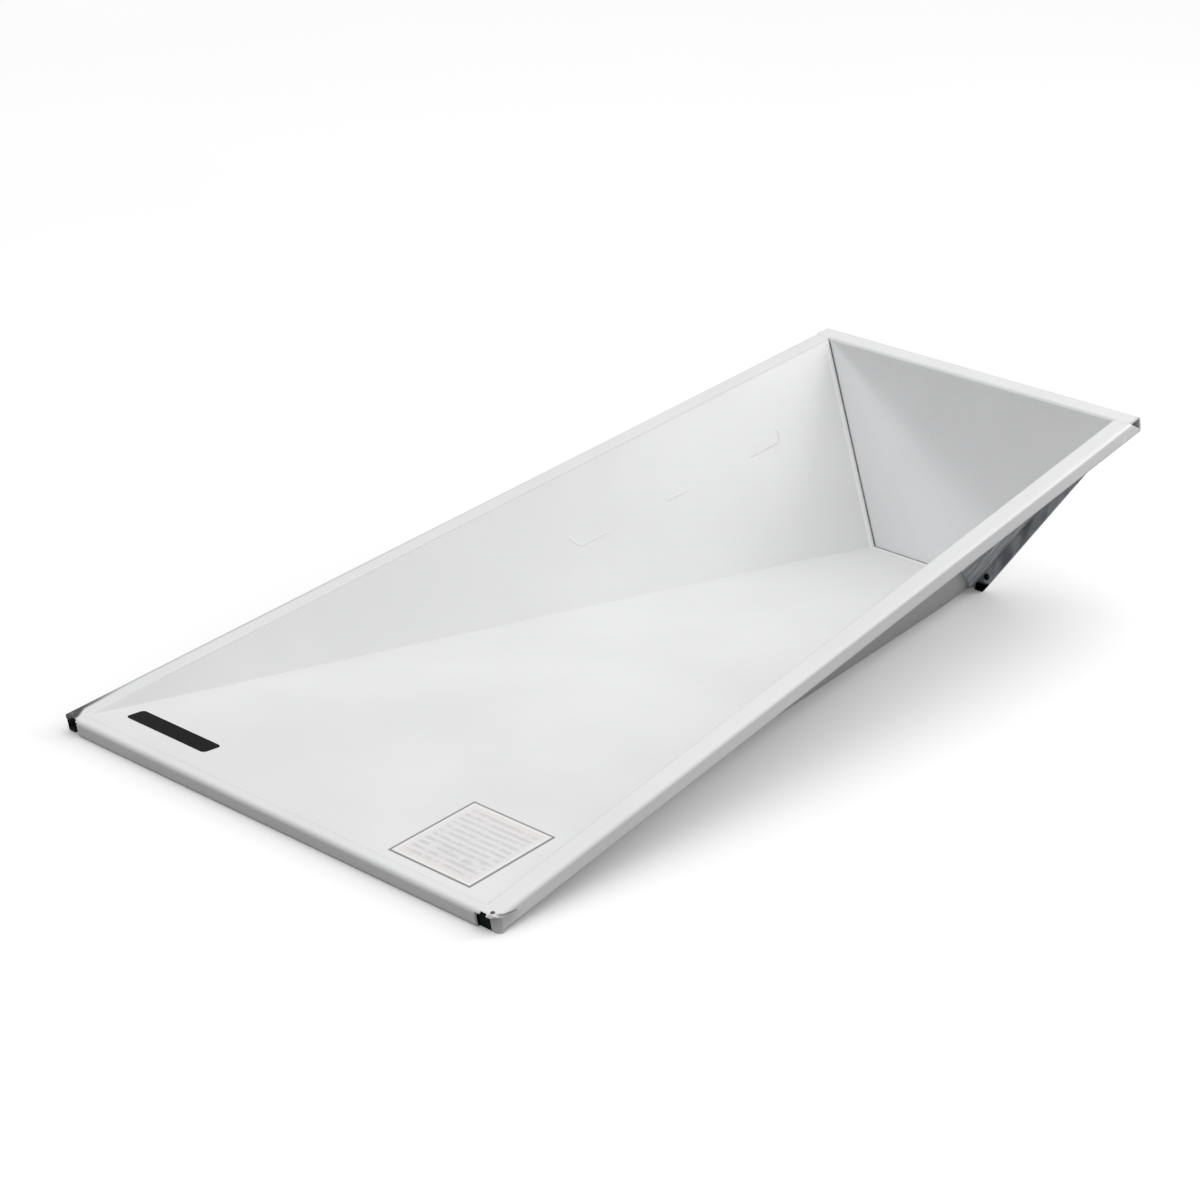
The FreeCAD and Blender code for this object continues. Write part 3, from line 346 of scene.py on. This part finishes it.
def slate_coat(name, deep, pale):
    """Slate coating on the brackets: blotches, run marks and rubbed patches, with painted shade: a dark
    line in the bend's inner corner and a near black foot.
    """
    g = Graph(name)
    x, y, z = g.rim_axes()
    runs = g.noise(60.0, 4.0, 0.6, g.stretch((1.0, 1.0, 0.22)))
    blotch = g.noise(45.0, 5.0, 0.65)
    colour = g.blend(g.ramp(runs, 0.36, 0.64), deep, pale)
    rubbed = g.ramp(blotch, 0.58, 0.78)
    colour = g.blend(g.math("MULTIPLY", rubbed, 0.5), colour, (0.56, 0.58, 0.61))
    # Painted shade: a dark line in the inner corner between the bracket's legs.
    bend = g.band(g.along(BOARD_OUT, BOARD_TOP), -GAUGE - 2.4 * MM, -GAUGE - 0.1 * MM, 0.6 * MM)
    colour = g.blend(g.math("MULTIPLY", bend, 0.75), colour, (0.03, 0.032, 0.036))
    # Painted shade: the foot near black and less shiny, as deep shade near the floor.
    foot = g.ramp(g.math("ADD", z, g.math("MULTIPLY", blotch, 6 * MM)), -198 * MM, -194 * MM, 1.0, 0.0)
    colour = g.blend(foot, colour, (0.010, 0.011, 0.012))
    rough = g.math("ADD", 0.40, g.math("MULTIPLY", rubbed, 0.18))
    g.put(g.shader.inputs["Specular IOR Level"], g.math("SUBTRACT", 0.5, g.math("MULTIPLY", foot, 0.5)))
    normal = g.bump(g.noise(500.0, 3.0), 0.06 * MM, 0.7)
    return g.finish(colour, rough, normal)


def bare_edge_and_highlight(name):
    """The cut edge of the brackets' sheet: bare steel, and painted paler than their faces as a highlight
    along the edge.
    """
    g = Graph(name)
    colour = g.blend(g.noise(240.0, 4.0), (0.55, 0.56, 0.58), (0.80, 0.81, 0.83))
    normal = g.bump(g.noise(900.0, 2.0, 0.6, g.stretch((1.0, 1.0, 0.1))), 0.05 * MM, 0.7)
    return g.finish(colour, 0.42, normal, Metallic=0.3)


def sealant(name):
    """Matt dark grey sealant, a little uneven."""
    g = Graph(name)
    colour = g.blend(g.ramp(g.noise(120.0, 4.0), 0.3, 0.7), (0.10, 0.105, 0.115), (0.22, 0.225, 0.235))
    normal = g.bump(g.noise(260.0, 3.0), 0.25 * MM, 0.7)
    return g.finish(colour, 0.55, normal)


def black_oxide(name):
    """Black oxide on steel, with small worn spots."""
    g = Graph(name)
    worn = g.ramp(g.noise(700.0, 4.0, 0.7), 0.55, 0.75)
    colour = g.blend(worn, (0.018, 0.018, 0.020), (0.11, 0.11, 0.115))
    rough = g.math("ADD", 0.28, g.math("MULTIPLY", worn, 0.2))
    normal = g.bump(g.noise(1500.0, 2.0), 0.02 * MM, 0.6)
    return g.finish(colour, rough, normal, Metallic=0.7)


def zinc(name):
    """Zinc plate with a fine spangle."""
    g = Graph(name)
    spangle = g.node("ShaderNodeTexVoronoi")
    spangle.inputs["Scale"].default_value = 600.0
    g.link(g.place, spangle.inputs["Vector"])
    shade = g.ramp(spangle.outputs["Distance"], 0.0, 0.9)
    colour = g.blend(shade, (0.50, 0.51, 0.53), (0.66, 0.66, 0.65))
    rough = g.math("ADD", 0.26, g.math("MULTIPLY", g.noise(300.0, 4.0), 0.2))
    normal = g.bump(g.noise(1800.0, 2.0), 0.02 * MM, 0.6)
    return g.finish(colour, rough, normal, Metallic=1.0)


def rusty_weld(name):
    """Bare weld metal with light rust."""
    g = Graph(name)
    rust = g.ramp(g.noise(500.0, 5.0, 0.7), 0.4, 0.65)
    colour = g.blend(rust, (0.13, 0.12, 0.115), (0.11, 0.07, 0.055))
    rough = g.math("ADD", 0.4, g.math("MULTIPLY", rust, 0.4))
    normal = g.bump(g.noise(900.0, 4.0), 0.15 * MM, 0.8)
    return g.finish(colour, rough, normal, Metallic=0.4)


def painted_shade_black(name):
    """Painted shade: nearly black, faintly green and matt."""
    g = Graph(name)
    colour = g.blend(g.noise(200.0, 4.0), (0.006, 0.009, 0.008), (0.020, 0.030, 0.027))
    normal = g.bump(g.noise(500.0, 3.0), 0.1 * MM, 0.6)
    return g.finish(colour, 0.6, normal, Specular_IOR_Level=0.15)


def vinyl_black(name):
    """Black vinyl with rubbed spots."""
    g = Graph(name)
    worn = g.ramp(g.noise(160.0, 6.0, 0.7), 0.64, 0.78)
    colour = g.blend(g.math("MULTIPLY", worn, 0.5), (0.006, 0.006, 0.007), (0.09, 0.09, 0.09))
    normal = g.bump(g.noise(700.0, 3.0), 0.03 * MM, 0.5)
    rough = g.math("ADD", 0.45, g.math("MULTIPLY", worn, 0.3))
    return g.finish(colour, rough, normal, Specular_IOR_Level=0.05)


def label_axes(g):
    """Shares of the label's width and length, from its front left corner, along its skewed sides."""
    spots = [v.co.copy() for v in NODES["instruction_label"].data.vertices]
    runs = [p.dot(FLOOR_ALONG) for p in spots]
    start, length = min(runs), max(runs) - min(runs)
    front = [p for p, run in zip(spots, runs) if run < start + MM]
    rear = [p for p, run in zip(spots, runs) if run > start + length - MM]
    left = min(p.x for p in front)
    width = max(p.x for p in front) - left
    skew = left - min(p.x for p in rear)
    corner = next(p for p in front if p.x < left + MM)
    v = g.math("DIVIDE", g.along(FLOOR_ALONG, corner), length)
    u = g.math("DIVIDE", g.math("ADD", g.along(ACROSS, corner), g.math("MULTIPLY", v, skew)), width)
    return u, v


def label_print(name):
    """A blank stand-in for the label's print: border, pale field and ruled grey and rosy bars."""
    g = Graph(name)
    u, v = label_axes(g)
    place = g.node("ShaderNodeCombineXYZ")
    g.link(u, place.inputs["X"])
    g.link(v, place.inputs["Y"])
    flat = place.outputs["Vector"]
    field = g.blend(g.noise(3.0, 3.0, 0.5, flat), (0.80, 0.785, 0.785), (0.85, 0.84, 0.84))
    bar_count = 13.0
    bar = g.band(g.math("FRACT", g.math("MULTIPLY", v, bar_count)), 0.22, 0.72, 0.16)
    words = g.ramp(g.noise(9.0, 3.0, 0.75, g.stretch((1.0, 1.35, 1.0), flat)), 0.36, 0.52)
    page = g.both(g.band(u, 0.10, 0.90, 0.03), g.band(v, 0.07, 0.93, 0.02))
    colour = g.blend(g.math("MULTIPLY", g.both(bar, words, page), 0.40), field, (0.50, 0.49, 0.50))
    block = g.ramp(g.noise(5.0, 4.0, 0.7, flat), 0.46, 0.56)
    panel = g.both(g.band(v, 0.17, 0.38, 0.03), g.band(u, 0.22, 0.86, 0.05), block)
    colour = g.blend(g.math("MULTIPLY", panel, 0.16), colour, (0.52, 0.51, 0.53))
    ends = g.math("MAXIMUM", g.band(v, 0.05, 0.14, 0.03), g.band(v, 0.86, 0.94, 0.04))
    rosy = g.both(ends, g.band(u, 0.06, 0.94, 0.03))
    colour = g.blend(g.math("MULTIPLY", rosy, 0.15), colour, (0.86, 0.70, 0.68))
    rim_u = g.band(u, 0.022, 0.978, 0.008)
    rim_v = g.band(v, 0.019, 0.981, 0.007)
    colour = g.blend(g.math("SUBTRACT", 1.0, g.both(rim_u, rim_v)), colour, (0.27, 0.26, 0.265))
    inner = g.both(g.band(u, 0.055, 0.945, 0.01), g.band(v, 0.048, 0.952, 0.01))
    band_share = g.both(rim_u, rim_v, g.math("SUBTRACT", 1.0, inner))
    colour = g.blend(g.math("MULTIPLY", band_share, 0.8), colour, (0.90, 0.885, 0.885))
    normal = g.bump(g.noise(380.0, 2.0), 0.02 * MM, 0.5)
    return g.finish(colour, 0.42, normal, Specular_IOR_Level=0.4)


def studio_floor(name):
    """A pale floor that throws less light back up than it shows."""
    g = Graph(name)
    path = g.node("ShaderNodeLightPath")
    colour = g.blend(g.ramp(g.noise(1.3, 3.0), 0.3, 0.7), (0.99, 0.99, 0.99), (1.0, 1.0, 1.0))
    seen = path.outputs["Is Camera Ray"]
    colour = g.blend(seen, (0.26, 0.26, 0.26), colour)
    g.put(g.shader.inputs["Emission Color"], (1.0, 1.0, 1.0, 1.0))
    g.put(g.shader.inputs["Emission Strength"], g.math("MULTIPLY", seen, 0.09))
    return g.finish(colour, 0.9, None, Specular_IOR_Level=0.1)


def dress(node, *materials, picks=lambda face: 0):
    """Gives a CAD node its finishes; picks gives the number of the one that a face takes."""
    mesh = NODES[node].data
    mesh.materials.clear()
    for material in materials:
        mesh.materials.append(material)
    for face in mesh.polygons:
        face.material_index = picks(face)


PAN_WHITE = powder_coat("pan_powder_coat", (0.85, 0.853, 0.855), 0.05, 0.05, 0.38, 0.05 * MM,
                        (painted_fold_shade, painted_rear_edge_highlight, painted_hollow_shade, painted_corner_shade, slit, dark_left_rim_edge,
                         rear_joint_grime),
                        Coat_Weight=0.25, Coat_Roughness=0.16)
WHITE = powder_coat("white_powder_coat", (0.85, 0.853, 0.855), 0.05, 0.05, 0.38, 0.05 * MM,
                    Coat_Weight=0.25, Coat_Roughness=0.16)
BOARD_WHITE = powder_coat("board_powder_coat", (0.90, 0.905, 0.915), 0.26, 0.0, 0.18, 0.02 * MM,
                          (painted_joint_shade,),
                          Metallic=0.22, Coat_Weight=1.0, Coat_Roughness=0.13)
SLATE = slate_coat("slate_coat", (0.31, 0.325, 0.355), (0.64, 0.66, 0.70))
# A lighter copy of the slate coat for the brackets' legs on the board: painted light on faces that get
# little.
SLATE_WITH_PAINTED_LIGHT = slate_coat("slate_coat_painted_light", (0.42, 0.435, 0.46), (0.86, 0.87, 0.89))
CUT_EDGE = bare_edge_and_highlight("bracket_cut_edge_and_highlight")
FINISHES = {
    "pan": PAN_WHITE,
    "stop_board": BOARD_WHITE,
    "board_seal": sealant("joint_sealant"),
    "wall_doubler_left": WHITE,
    "wall_doubler_right": WHITE,
    "doubler_welds_left": WHITE,
    "doubler_welds_right": WHITE,
    "bracket_screws": black_oxide("black_oxide"),
    "bracket_washers": zinc("zinc_plate"),
    "corner_tack_weld": rusty_weld("rusty_weld"),
    "instruction_label": label_print("label_print"),
    "front_marking": vinyl_black("black_vinyl"),
}
FINISHES["bracket_nuts"] = FINISHES["bracket_washers"]
for node, finish in FINISHES.items():
    dress(node, finish)


def off_board(face):
    """1 for the rear rim: all of the stop board that isn't its flat sheet."""
    return int(abs(face.normal.dot(BOARD_OUT)) < 0.98)


def bracket_face(face):
    """0 for a bracket's wall leg, 1 for its leg on the board, 2 for its cut front edge."""
    if face.normal.dot(BOARD_OUT) < -0.98:
        return 1
    return 2 * int(face.normal.dot(RIM_ALONG) < -0.5 and abs(face.normal.x) < 0.45)


for node in ("rear_bracket_left", "rear_bracket_right"):
    # The legs on the board take the lighter slate copy, which is painted light.
    dress(node, SLATE, SLATE_WITH_PAINTED_LIGHT, CUT_EDGE, picks=bracket_face)
dress("stop_board", BOARD_WHITE, WHITE, picks=off_board)


# ---------------------------------------------------------------- raised detail

def new_piece(name, mesh, material, node=None):
    """A finished mesh that rides with the box, and stands for a CAD node if one is named."""
    mesh.materials.append(material)
    for face in mesh.polygons:
        face.use_smooth = True
    made = bpy.data.objects.new(name, mesh)
    bpy.context.scene.collection.objects.link(made)
    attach(made, BODY)
    if node is not None:
        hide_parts(node)
    return made


def ribbon(name, rows):
    """A mesh of quads between rows of points that have equal counts."""
    bm = bmesh.new()
    grid = [[bm.verts.new(p) for p in row] for row in rows]
    for near, far in zip(grid, grid[1:]):
        for index in range(len(near) - 1):
            bm.faces.new((near[index], near[index + 1], far[index + 1], far[index]))
    bmesh.ops.recalc_face_normals(bm, faces=bm.faces)
    mesh = bpy.data.meshes.new(name)
    bm.to_mesh(mesh)
    bm.free()
    return mesh


def loose_parts(mesh):
    """Corner groups of a mesh whose faces hang together, by place."""
    keys = [tuple(round(c, 5) for c in v.co) for v in mesh.vertices]
    group = {key: key for key in keys}

    def root(key):
        while group[key] != key:
            key = group[key]
        return key

    for face in mesh.polygons:
        first = root(keys[face.vertices[0]])
        for index in face.vertices[1:]:
            group[root(keys[index])] = first
    parts = {}
    for key in set(keys):
        parts.setdefault(root(key), []).append(Vector(key))
    return sorted(parts.values(), key=lambda points: min(p.y for p in points))


def bead_frame(points):
    """A bead's root line and its two legs, from the corners of its prism."""
    points.sort(key=lambda p: p.y)
    ends = []
    for trio in (points[:3], points[3:]):
        def squareness(p, trio=trio):
            first, second = (q - p for q in trio if q is not p)
            return abs(first.normalized().dot(second.normalized()))
        corner = min(trio, key=squareness)
        legs = sorted((q - corner for q in trio if q is not corner), key=lambda leg: leg.length)
        ends.append((corner, legs))
    (start, legs), (finish, _) = ends
    return start, finish, legs[0], legs[1]


RIPPLE = 2.4 * MM  # length of one ripple of a weld bead
BEAD_END = 3 * MM  # length of a bead's tapered end


def weld_beads(side):
    """The doublers' beads: laid ripples with tapered ends, in the corner that they fill."""
    node = "doubler_welds_" + side
    for number, points in enumerate(loose_parts(NODES[node].data)):
        start, finish, short, long = bead_frame(points)
        run = finish - start
        steps = max(12, int(run.length / (0.5 * MM)))
        rows = []
        for step in range(steps + 1):
            t = step / steps
            end = min(1.0, min(t, 1 - t) * run.length / BEAD_END)
            ripple = 0.90 + 0.07 * math.sin(2 * math.pi * t * run.length / RIPPLE)
            swell = (ripple + 0.05 * noise.noise(Vector((t * 30, number, 0)))) * math.sqrt(max(end, 0.02))
            row = []
            for part in range(9):
                angle = math.radians(90) * part / 8
                row.append(start + run * t + (short * math.sin(angle) + long * math.cos(angle)) * swell)
            rows.append(row)
        stands_for = node if number == 0 else None
        new_piece("%s_bead_%d" % (side, number), ribbon(node, rows), WHITE, stands_for)


def tack():
    """The small rusty tack: a lumpy crowned blob on the right front corner."""
    node = "corner_tack_weld"
    low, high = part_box(node)
    across = (low.x + high.x) / 2
    radius = (high.x - low.x) / 2
    spots = rim_points(node)
    base = min(p.z for p in spots)
    top = max(p.z for p in spots)
    along = sum(p.y for p in spots) / len(spots)
    rows = []
    for ring in range(9):
        lift = math.radians(90) * ring / 8
        row = []
        for spoke in range(25):
            turn = 2 * math.pi * (spoke % 24) / 24
            lump = 0.84 + 0.16 * noise.noise(Vector((math.cos(turn) * 2, math.sin(turn) * 2, ring * 0.3)))
            reach = radius * lump * math.cos(lift)
            height = base + (top - base) * math.sin(lift) * (0.8 + 0.2 * lump)
            row.append(from_rim((across + reach * math.cos(turn), along + reach * math.sin(turn), height)))
        rows.append(row)
    new_piece("corner_tack", ribbon("corner_tack", rows), FINISHES[node], node)


def wall_plane(side):
    """A point and the inward normal of a wall's inner face, then its doubler's front, rear and foot."""
    points = rim_points("wall_doubler_" + side)
    sign = 1 if side == "right" else -1
    low = min(p.z for p in points)
    top = max(p.z for p in points)
    near = min(p.y for p in points)
    far = max(p.y for p in points)

    def outermost(z, y):
        row = [p for p in points if abs(p.z - z) < 0.3 * MM and abs(p.y - y) < 14 * MM]
        return max(row, key=lambda p: sign * p.x)

    a, b, c = outermost(top, near), outermost(top, far), outermost(low, near)
    normal = (b - a).cross(c - a).normalized()
    if normal.x * sign > 0:
        normal = -normal
    return a + normal * (2 * GAUGE), normal, near, far, low


def smooth_path(knots):
    """Closely spaced points along straight runs between knots, with the corners eased."""
    path = []
    for a, b in zip(knots, knots[1:]):
        count = max(2, int((b - a).length / (1.5 * MM)))
        path += [a.lerp(b, index / count) for index in range(count)]
    path.append(knots[-1])
    for _ in range(6):
        middle = [(a + 2 * b + c) / 4 for a, b, c in zip(path, path[1:], path[2:])]
        path = [path[0], *middle, path[-1]]
    return path


def witness_marks(side):
    """Faint raised lines inside a wall, where the doubler is welded to its outside."""
    point, normal, near, far, low = wall_plane(side)

    def on_wall(y, z):
        x = point.x - (normal.y * (y - point.y) + normal.z * (z - point.z)) / normal.x
        return Vector((x, y, z))

    rise, corner = 15 * MM, 7 * MM
    middle = near + 0.42 * (far - near)
    start, end = near + MM, far - 2 * MM
    lines = [
        [(start, low + rise), (start, low + corner), (near + corner, low), (near + 53 * MM, low)],
        [(middle, low), (middle + 38 * MM, low)],
        [(far - 56 * MM, low), (far - corner, low), (end, low + corner), (end, low + rise)],
    ]
    half, height, sunk = 2.0 * MM, 0.65 * MM, 0.02 * MM
    for number, line in enumerate(lines):
        path = smooth_path([on_wall(*place) for place in line])
        rows = []
        for index, spot in enumerate(path):
            ahead = path[min(index + 1, len(path) - 1)] - path[max(index - 1, 0)]
            beside = normal.cross(ahead).normalized()
            fade = min(1.0, min(index, len(path) - 1 - index) / 4)
            row = []
            for part in range(9):
                u = part / 4 - 1
                lift = height * fade * (0.5 + 0.5 * math.cos(math.pi * u)) - sunk
                row.append(from_rim(spot + beside * half * u + normal * lift))
            rows.append(row)
        new_piece("%s_witness_%d" % (side, number), ribbon("witness", rows), WHITE)


def corner_shade_sheet():
    """A near black sheet of painted shade across the hollow between the front skirt's right end and the
    end tab.
    """
    depth = FRONT + 4.5 * MM
    rows = [[from_rim((x * MM, depth, z * MM)) for z in (-19.8, -11.0, -2.6)]
            for x in (294.5, 302.0, 313.2)]
    new_piece("corner_shade_sheet", ribbon("corner_shade_sheet", rows), painted_shade_black("painted_shade_black"))


for side in ("left", "right"):
    weld_beads(side)
    witness_marks(side)
corner_shade_sheet()
tack()


# ---------------------------------------------------------------- studio

def camera():
    """A long lens from the front right, a little above the rims."""
    azimuth, elevation, roll = (math.radians(a) for a in (44.16, 21.69, 0.84))
    aim = Vector((-0.0392, -0.0435, 0.0901))
    away = 3.666
    back = Vector((math.sin(azimuth) * math.cos(elevation),
                   -math.cos(azimuth) * math.cos(elevation),
                   math.sin(elevation)))
    data = bpy.data.cameras.new("camera")
    data.lens = 102.3
    data.sensor_width = 36.0
    data.clip_end = 100.0
    made = bpy.data.objects.new("camera", data)
    turn = (-back).to_track_quat("-Z", "Y").to_matrix().to_4x4() @ Matrix.Rotation(roll, 4, "Z")
    made.matrix_world = Matrix.Translation(aim + back * away) @ turn
    bpy.context.scene.collection.objects.link(made)
    bpy.context.scene.camera = made


def floor():
    """A wide pale floor at the height that the box rests on."""
    data = bpy.data.meshes.new("studio_floor")
    reach = 14.0
    corners = [(-reach, -reach, 0), (reach, -reach, 0), (reach, reach, 0), (-reach, reach, 0)]
    data.from_pydata(corners, [], [(0, 1, 2, 3)])
    data.materials.append(studio_floor("studio_floor"))
    made = bpy.data.objects.new("studio_floor", data)
    bpy.context.scene.collection.objects.link(made)


def sky():
    """A soft dome: bright overhead, dim at the horizon."""
    world = bpy.data.worlds.new("studio_sky")
    world.use_nodes = True
    bpy.context.scene.world = world
    tree = world.node_tree
    place = tree.nodes.new("ShaderNodeTexCoord")
    split = tree.nodes.new("ShaderNodeSeparateXYZ")
    height = tree.nodes.new("ShaderNodeMapRange")
    tree.links.new(place.outputs["Generated"], split.inputs["Vector"])
    tree.links.new(split.outputs["Z"], height.inputs["Value"])
    height.inputs["From Min"].default_value = 0.0
    height.inputs["From Max"].default_value = 1.0
    height.inputs["To Min"].default_value = 0.16
    height.inputs["To Max"].default_value = 1.24
    tree.links.new(height.outputs["Result"], tree.nodes["Background"].inputs["Strength"])
    tree.nodes["Background"].inputs["Color"].default_value = (1.0, 1.0, 1.0, 1.0)


def softbox(name, place, target, size, power):
    """A square light panel that faces a target."""
    data = bpy.data.lights.new(name, "AREA")
    data.energy = power
    data.size = size
    made = bpy.data.objects.new(name, data)
    made.location = place
    made.rotation_mode = "QUATERNION"
    made.rotation_quaternion = (Vector(place) - Vector(target)).to_track_quat("Z", "Y")
    bpy.context.scene.collection.objects.link(made)


camera()
floor()
sky()
softbox("key_light", (1.15, 1.85, 1.15), (0, 0.2, 0.1), 1.2, 16)
bpy.context.scene.view_settings.view_transform = "Standard"
